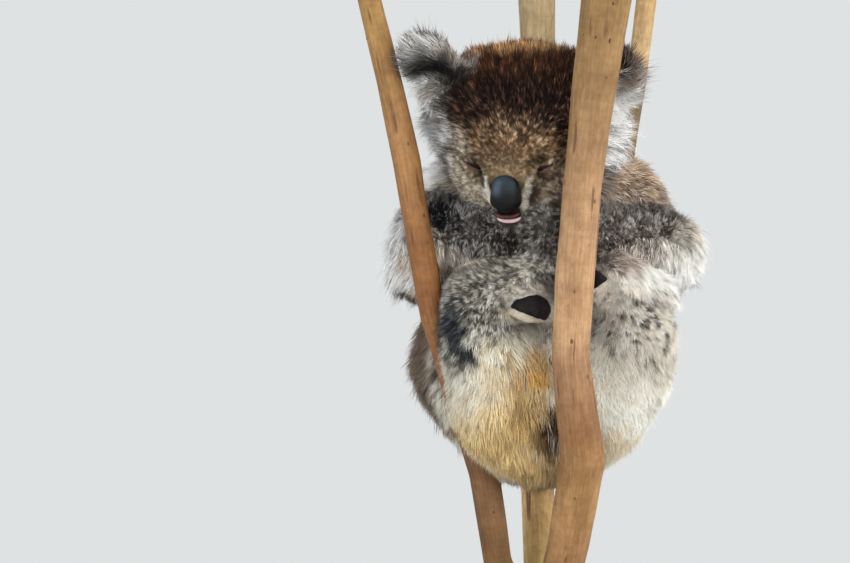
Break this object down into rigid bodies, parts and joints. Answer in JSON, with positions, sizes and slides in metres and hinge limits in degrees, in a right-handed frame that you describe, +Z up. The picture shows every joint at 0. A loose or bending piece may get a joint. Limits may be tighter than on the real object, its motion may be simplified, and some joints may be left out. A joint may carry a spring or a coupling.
{
  "type": "koala",
  "caption": "Life-size still model of a koala asleep in a eucalypt fork, arms and feet round the front stem, chin on its forearm, set on a plain round display stand.",
  "frame": {"origin": "centre of the underside of the round display base, on the floor", "axes": "+Z up; the koala faces -Y, so its own left side is towards +X"},
  "size_m": [0.3307, 0.33, 0.6364],
  "materials": {
    "coat": "dense soft fur in tufts, grey-brown above, cream below, dark crown",
    "nose_leather": "bare slate-grey leather with a soft sheen",
    "sole_leather": "bare dark sole skin, slightly damp",
    "eye": "dark moist eye, glossy",
    "claw": "dark horn, satin",
    "bark": "smooth pinkish-tan eucalypt bark with fine streaks and knots",
    "stand_wood": "dark stained wood, satin",
    "stand_steel": "brushed"
  },
  "bodies": {
    "root": {"claw_foot_left_1": "claw", "claw_foot_left_2": "claw", "claw_foot_left_3": "claw", "claw_foot_left_4": "claw", "claw_foot_right_1": "claw", "claw_foot_right_2": "claw", "claw_foot_right_3": "claw", "claw_foot_right_4": "claw", "claw_hand_left_1": "claw", "claw_hand_left_2": "claw", "claw_hand_left_3": "claw", "claw_hand_left_4": "claw", "claw_hand_left_5": "claw", "claw_hand_right_1": "claw", "claw_hand_right_2": "claw", "claw_hand_right_3": "claw", "claw_hand_right_4": "claw", "claw_hand_right_5": "claw", "ear_left": "coat", "ear_right": "coat", "eye_left": "eye", "eye_right": "eye", "foot_left": "coat", "foot_right": "coat", "forearm_left": "coat", "forearm_right": "coat", "hand_left": "coat", "hand_right": "coat", "lower_jaw": "coat", "neck": "coat", "nose": "nose_leather", "pad_foot_left": "sole_leather", "pad_foot_right": "sole_leather", "perch_back_branch": "bark", "perch_front_branch": "bark", "perch_left_branch": "bark", "perch_side_branch": "bark", "perch_stump": "bark", "shin_left": "coat", "shin_right": "coat", "skull": "coat", "stand_base": "stand_wood", "stand_rod_left": "stand_steel", "stand_rod_right": "stand_steel", "thigh_left": "coat", "thigh_right": "coat", "trunk": "coat", "upper_arm_left": "coat", "upper_arm_right": "coat"}
  },
  "joints": []
}
